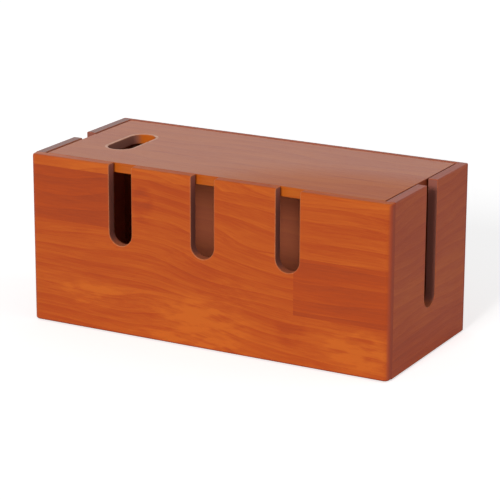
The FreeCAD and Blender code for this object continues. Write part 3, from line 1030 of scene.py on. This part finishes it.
@dataclass
class FrontWall:
    """Front board, over the full length, with three slots that open at its top edge."""

    slot_width: float = 23 * MM
    slot_depth: float = 73 * MM
    slot_pitch: float = 83 * MM
    slot_shift: float = -1.5 * MM
    slots: int = 3
    corner: Rounding = Rounding(5 * MM, strips=8)
    rail: Rounding = Rounding(2.2 * MM, strips=6)
    # The pale rim faces of the slots are wear and also a painted highlight.
    rim: Rounding = Rounding(0.7 * MM, strips=4, wear=0.5)
    # Painted shade on the lower rounding, which faces the floor.
    lower_edge_painted_shade: float = 0.35
    groove: Groove = Groove(setback=5 * MM)
    staves: tuple[Stave, ...] = (
        Stave(0, 355, 0, 45.5, -0.04),
        Stave(0, 265, 45.5, 97, 0.0),
        Stave(265, 355, 45.5, 97, 0.22),
        Stave(0, 82, 97, 146, 0.28),
        Stave(82, 355, 97, 146, 0.0),
        Stave(0, 355, 146, 155, -0.14),
    )
    wood: StainedWood = StainedWood(
        "stained_wood_front",
        pale=(0.560, 0.117, 0.0120),
        middle=(0.422, 0.060, 0.0075),
        dark=(0.265, 0.037, 0.0105),
        fall=26.0,
        patches=(
            Patch(1, 26, 62, 30, stain=-0.39),
            Patch(147, 24, 44, 26, stain=-0.36),
            Patch(-117, 34, 46, 16, stain=-0.34),
            Patch(-17, 6, 85, 9, stain=-0.34),
            Patch(85, 32, 20, 22, stain=0.20),
            Patch(-62, 124, 14, 26, stain=0.24),
            Patch(120, 157, 320, 6, dullness=0.16),
        ),
    )

    def build(self) -> bpy.types.Object:
        """Cut the board.

        Returns:
            The board at its place.
        """
        board = Workpiece("front_panel", Facing.FRONT)
        middle = board.size.x / 2 + self.slot_shift
        centres = [
            middle + (number - (self.slots - 1) / 2) * self.slot_pitch
            for number in range(self.slots)
        ]
        board.draw_outline(self.slot_width, self.slot_depth, centres)
        board.saw()
        board.round_edges(self.corner, lambda edge: board.is_outer(edge) and board.is_end(edge))
        board.round_edges(
            self.rail,
            lambda edge: board.is_rail(edge)
            and not board.is_inner(edge)
            and not board.is_crossing(edge),
        )
        board.round_edges(
            self.rim,
            lambda edge: not (board.is_inner(edge) and board.is_end(edge, self.rail.radius)),
        )
        board.cut_groove(self.groove)
        board.glue_up(self.staves)
        board.mark_inside()
        # Painted shade: the lower rounding, which faces the floor, is painted darker.
        board.darken_side(-1, self.rail.radius, self.lower_edge_painted_shade)
        return board.release()

    def dress(self, piece: bpy.types.Object) -> None:
        """Stain the board, with the paler and darker spots of its wood."""
        stand_for(piece, "front_panel", "box", self.wood)


@dataclass
class EndWall:
    """End board between the front and back boards, with one deep slot open at the top."""

    facing: Facing
    node: str
    slot_width: float = 22 * MM
    slot_depth: float = 111.5 * MM
    rail: Rounding = Rounding(1 * MM, strips=4)
    rim: Rounding = Rounding(0.5 * MM, strips=3, wear=0.2)
    top_darkening: float = 0.30
    dark: Colour = (0.20, 0.030, 0.007)
    contrast: float = 0.8
    roughness: float = 0.42
    groove: Groove = Groove()
    staves: tuple[Stave, ...] = (
        Stave(0, 147, 0, 30, 0.06),
        Stave(0, 147, 30, 80, -0.04),
        Stave(0, 147, 80, 155, 0.03),
    )

    def build(self) -> bpy.types.Object:
        """Cut the board.

        Returns:
            The board at its place.
        """
        board = Workpiece(self.node, self.facing)
        board.draw_outline(self.slot_width, self.slot_depth, [board.size.x / 2])
        board.saw()
        board.round_edges(self.rail, lambda edge: board.is_outer(edge) and board.is_rail(edge))
        board.round_edges(self.rim, lambda edge: not board.is_end(edge))
        board.cut_groove(self.groove)
        board.glue_up(self.staves)
        board.mark_inside()
        board.darken_side(1, self.rail.radius, self.top_darkening)
        return board.release()

    def dress(self, piece: bpy.types.Object) -> None:
        """Stain the board.

        Args:
            piece: The board.
        """
        wood = StainedWood(
            f"stained_wood_{self.facing.name.lower()}",
            Grain.ALONG_Y,
            dark=self.dark,
            contrast=self.contrast,
            roughness=self.roughness,
        )
        stand_for(piece, self.node, "box", wood)


@dataclass
class BackWall:
    """Thin back board, with countersunk holes for the screws into the end boards."""

    corner: Rounding = Rounding(2 * MM, strips=6)
    rail: Rounding = Rounding(1 * MM, strips=4)
    hole_radius: float = 1.3 * MM
    countersink: Rounding = Rounding(1.25 * MM, strips=1)
    hole_setback: float = 4.5 * MM
    holes: int = 3
    hole_end_distance: float = 25 * MM
    top_darkening: float = 0.5
    # Band of painted shade at the top of the inner face, in the gap beside the lid.
    lid_gap_band: float = 2 * MM
    lid_gap_painted_shade: float = 0.6
    groove: Groove = Groove(depth=2 * MM, setback=5 * MM)
    staves: tuple[Stave, ...] = (
        Stave(0, 355, 0, 40, 0.05),
        Stave(0, 140, 40, 92, -0.05),
        Stave(140, 355, 40, 92, 0.06),
        Stave(0, 240, 92, 155, 0.04),
        Stave(240, 355, 92, 155, -0.06),
    )
    wood: StainedWood = StainedWood("stained_wood_back")

    def build(self) -> bpy.types.Object:
        """Cut the board.

        Returns:
            The board at its place.
        """
        board = Workpiece("back_panel", Facing.BACK)
        spacing = (board.size.y - 2 * self.hole_end_distance) / (self.holes - 1)
        rows = (self.hole_setback, board.size.x - self.hole_setback)
        for along in rows:
            for number in range(self.holes):
                board.start(along + self.hole_radius, self.hole_end_distance + number * spacing)
                board.bend(-self.hole_radius, 0.0, math.tau, ARC_STEPS)
                board.close()
        board.draw_outline()
        board.saw(*rows)
        board.round_edges(
            self.countersink,
            lambda edge: board.is_outer(edge) and not (board.is_rail(edge) or board.is_end(edge)),
        )
        board.round_edges(self.corner, lambda edge: board.is_outer(edge) and board.is_end(edge))
        board.round_edges(self.rail, lambda edge: board.is_rail(edge) and not board.is_inner(edge))
        board.cut_groove(self.groove)
        board.glue_up(self.staves)
        board.mark_inside()
        # Painted shade in the lid's gap: the top band of the inner face is painted darker.
        board.paint_lid_gap_shade(self.lid_gap_band, self.lid_gap_painted_shade)
        board.darken_side(1, self.rail.radius, self.top_darkening)
        return board.release()

    def dress(self, piece: bpy.types.Object) -> None:
        """Stain the board."""
        stand_for(piece, "back_panel", "box", self.wood)


@dataclass
class Lid:
    """Loose lid inside the walls, with an oblong finger hole near its left end."""

    hole_width: float = 24 * MM
    hole_length: float = 61 * MM
    hole_setback: float = 44.9 * MM
    hole_rim: Rounding = Rounding(1 * MM, strips=5)
    wear_and_highlight_width: float = 3.2 * MM
    corner_radius: float = 1.5 * MM
    arris: Rounding = Rounding(0.5 * MM, strips=3)
    staves: tuple[Stave, ...] = (
        Stave(0, 333.8, 0, 50, -0.22),
        Stave(0, 333.8, 50, 96, -0.16),
        Stave(0, 333.8, 96, 143.8, -0.20),
    )
    patches: tuple[Patch, ...] = (Patch(150, -78, 190, 110, dullness=0.14),)

    def build(self) -> bpy.types.Object:
        """Cut the board.

        Returns:
            The board at its place.
        """
        board = Workpiece("lid", Facing.UP)
        length, depth, _ = board.size
        radius = self.hole_width / 2
        straight = self.hole_length - self.hole_width
        board.start(self.hole_setback + radius, (depth - straight) / 2)
        for way in (1, -1):
            board.run(0.0, way * straight)
            board.bend(-way * radius, 0.0, math.pi, ARC_STEPS)
        board.close()
        corner = self.corner_radius
        board.start(corner, 0.0)
        for along, across in ((1, 0), (0, 1), (-1, 0), (0, -1)):
            board.run(along * (length - 2 * corner), across * (depth - 2 * corner))
            board.bend(-across * corner, along * corner, math.pi / 2, CORNER_STEPS)
        board.close()
        board.saw(self.hole_setback)

        def is_rim(edge: Edge) -> bool:
            """Whether an edge belongs to the finger hole."""
            reach = radius + LEVEL_TOLERANCE
            return all(abs(vert.co.x - self.hole_setback) < reach for vert in edge.verts)

        board.round_edges(self.hole_rim, is_rim)
        board.round_edges(self.arris, lambda edge: not is_rim(edge))
        board.glue_up(self.staves)
        board.mark_inside()
        return board.release()

    def dress(self, piece: bpy.types.Object) -> None:
        """Stain the board, and paint a pale line round its finger hole: wear and a painted
        highlight.

        Args:
            piece: The board.
        """
        low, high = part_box("lid")
        rim = RimWearAndHighlight(
            along=(low.x + self.hole_setback) / MM,
            across=(low.y + high.y) / 2 / MM,
            straight=(self.hole_length - self.hole_width) / MM,
            radius=self.hole_width / 2 / MM,
            width=self.wear_and_highlight_width / MM,
        )
        wood = StainedWood(
            "stained_wood_lid",
            across_axis=1,
            pale=(0.515, 0.117, 0.010),
            middle=(0.410, 0.062, 0.005),
            dark=(0.25, 0.038, 0.007),
            end_grain=(0.24, 0.040, 0.010),
            thin_stain=(0.60, 0.130, 0.010),
            # Darker than on the other boards, as painted shade on the finger hole's end-grain
            # walls.
            raw_end_grain=(0.25, 0.095, 0.066),
            # Paler than on the other boards, for the wear and painted highlight round the finger
            # hole.
            pale_wear_and_highlight=(0.72, 0.38, 0.24),
            roughness=0.35,
            patches=self.patches,
            rim_wear_and_highlight=rim,
        )
        stand_for(piece, "lid", "lid", wood)


@dataclass
class Base:
    """Bottom panel in its groove, and the pads that the box stands on."""

    board: PlainWood = PlainWood("bottom_wood", (0.40, 0.085, 0.016), (0.21, 0.038, 0.009))
    rubber: MattRubber = MattRubber("pad_rubber")

    def dress(self) -> None:
        """Finish the panel and its pads."""
        dress_nodes("bottom_panel", self.board)
        dress_nodes("foot_pad", self.rubber)


@dataclass
class Joinery:
    """Corner blocks that carry the lid, and the dowels, screws and pins of the walls."""

    block: PlainWood = PlainWood(
        "block_wood", (0.42, 0.085, 0.014), (0.20, 0.035, 0.009), Grain.ALONG_Z
    )
    dowel: PlainWood = PlainWood(
        "dowel_wood", (0.62, 0.42, 0.25), (0.42, 0.26, 0.14), Grain.ALONG_Y
    )
    screw: TurnedMetal = TurnedMetal(
        "screw_steel", (0.42, 0.34, 0.22), (0.19, 0.14, 0.09), Grain.ALONG_Y
    )
    pin: TurnedMetal = TurnedMetal(
        "pin_steel", (0.58, 0.57, 0.55), (0.36, 0.35, 0.33), Grain.ALONG_X
    )

    def dress(self) -> None:
        """Finish every fastener and block."""
        finishes = {
            "corner_block": self.block,
            "dowels": self.dowel,
            "screws": self.screw,
            "block_pins": self.pin,
        }
        for ending, finish in finishes.items():
            dress_nodes(ending, finish)


@dataclass(frozen=True)
class Lamp:
    """Far lamp that shines on the box.

    strength is its irradiance. It hangs at an azimuth, turned from straight in front towards the
    right, and at an elevation above the horizon, and fills the angle spread, seen from the box.
    """

    name: str
    strength: float
    azimuth: float
    elevation: float
    spread: float
    is_mirrored: bool = True

    def hang(self) -> None:
        """Put the lamp into the scene."""
        data = bpy.data.lights.new(self.name, "SUN")
        data.energy = self.strength
        data.angle = self.spread
        lamp = bpy.data.objects.new(self.name, data)
        lamp.rotation_euler = (math.pi / 2 - self.elevation, 0.0, self.azimuth)
        lamp.visible_glossy = self.is_mirrored
        bpy.context.scene.collection.objects.link(lamp)


@dataclass
class Studio:
    """Pale floor, soft light from the front, and the camera.

    The camera stands at a distance from the target, turned by yaw to the right of the front and
    raised by pitch. The target lies to the right of the view's middle by across, and over it by
    above.
    """

    floor_radius: float = 9.0
    floor_segments: int = 96
    floor_shades: tuple[Colour, Colour] = ((0.78, 0.78, 0.78), (0.82, 0.82, 0.82))
    floor_roughness: float = 0.9
    floor_lift: float = 0.60
    speckle: Streaks = Streaks(1.0, 1.0)
    ambient: float = 0.30
    # Mirrored in the lid, the key light would turn it white for a view from straight behind.
    lamps: tuple[Lamp, ...] = (
        Lamp("key_light", 2.2, 0.0, math.radians(19), math.radians(16), is_mirrored=False),
        Lamp("fill_light", 0.5, math.radians(105), math.radians(22), math.radians(50)),
    )
    target: Vector = Vector((0.0, 0.0, 78.5 * MM))
    yaw: float = math.radians(28.519)
    pitch: float = math.radians(16.567)
    roll: float = math.radians(0.212)
    across: float = -1.86 * MM
    above: float = 7.17 * MM
    distance: float = 2069.1 * MM
    focal_length_px: float = 2310.2
    image_px: float = 500.0

    def build(self) -> None:
        """Set up everything round the box."""
        self.lay_floor()
        self.light_world()
        for lamp in self.lamps:
            lamp.hang()
        self.aim_camera()
        bpy.context.scene.view_settings.view_transform = "Standard"

    def lay_floor(self) -> None:
        """Lay a round floor that looks white to the camera and keeps the box's shadow."""
        work = bmesh.new()
        bmesh.ops.create_circle(
            work, cap_ends=True, segments=self.floor_segments, radius=self.floor_radius
        )
        data = bpy.data.meshes.new("floor")
        work.to_mesh(data)
        work.free()
        floor = bpy.data.objects.new("floor", data)
        bpy.context.scene.collection.objects.link(floor)
        sheet = FinishSheet("pale_floor", Grain.ALONG_X)
        speckle = sheet.noise(self.speckle)
        seen = sheet.add("LightPath").outputs["Is Camera Ray"]
        material = sheet.finished(
            {
                "Base Color": sheet.mix(speckle, *self.floor_shades),
                "Roughness": self.floor_roughness,
                "Specular IOR Level": 0.0,
                "Emission Color": WHITE,
                "Emission Strength": sheet.math("MULTIPLY", seen, self.floor_lift),
            }
        )
        data.materials.append(material)

    def light_world(self) -> None:
        """Surround the box with even light, behind which the camera sees white."""
        world = bpy.data.worlds.new("studio")
        sheet = NodeSheet(world)
        path = sheet.add("LightPath").outputs
        mirrored = sheet.math("MAXIMUM", path["Is Glossy Ray"], path["Is Transmission Ray"])
        shown = sheet.math("MAXIMUM", path["Is Camera Ray"], mirrored)
        strength = sheet.weighted_sum(self.ambient, (shown, 1.0 - self.ambient))
        background = sheet.tree.nodes["Background"]
        sheet.feed(background.inputs["Color"], WHITE)
        sheet.feed(background.inputs["Strength"], strength)
        bpy.context.scene.world = world

    def aim_camera(self) -> None:
        """Stand the camera where the photograph was taken from."""
        level = Vector((math.cos(self.yaw), math.sin(self.yaw), 0.0))
        backwards = Vector((math.sin(self.yaw), -math.cos(self.yaw), 0.0))
        back = math.cos(self.pitch) * backwards + Vector((0.0, 0.0, math.sin(self.pitch)))
        right = math.cos(self.roll) * level + math.sin(self.roll) * back.cross(level)
        up = back.cross(right)
        place = self.target - self.across * right - self.above * up + self.distance * back
        data = bpy.data.cameras.new("photo_camera")
        data.sensor_fit = "HORIZONTAL"
        data.lens = self.focal_length_px * data.sensor_width / self.image_px
        camera = bpy.data.objects.new("photo_camera", data)
        turn = Matrix((right, up, back)).transposed().to_4x4()
        camera.matrix_world = Matrix.Translation(place) @ turn
        bpy.context.scene.collection.objects.link(camera)
        bpy.context.scene.camera = camera


def main() -> None:
    """Build the box piece by piece, then the studio round it."""
    logging.basicConfig(level=logging.INFO, format="%(message)s")
    boards = [
        FrontWall(),
        BackWall(),
        EndWall(Facing.LEFT, "left_end_panel", top_darkening=0.70, roughness=0.30),
        EndWall(Facing.RIGHT, "right_end_panel"),
        Lid(),
    ]
    for board in boards:
        board.dress(board.build())
    Base().dress()
    Joinery().dress()
    Studio().build()


if __name__ == "__main__":
    main()
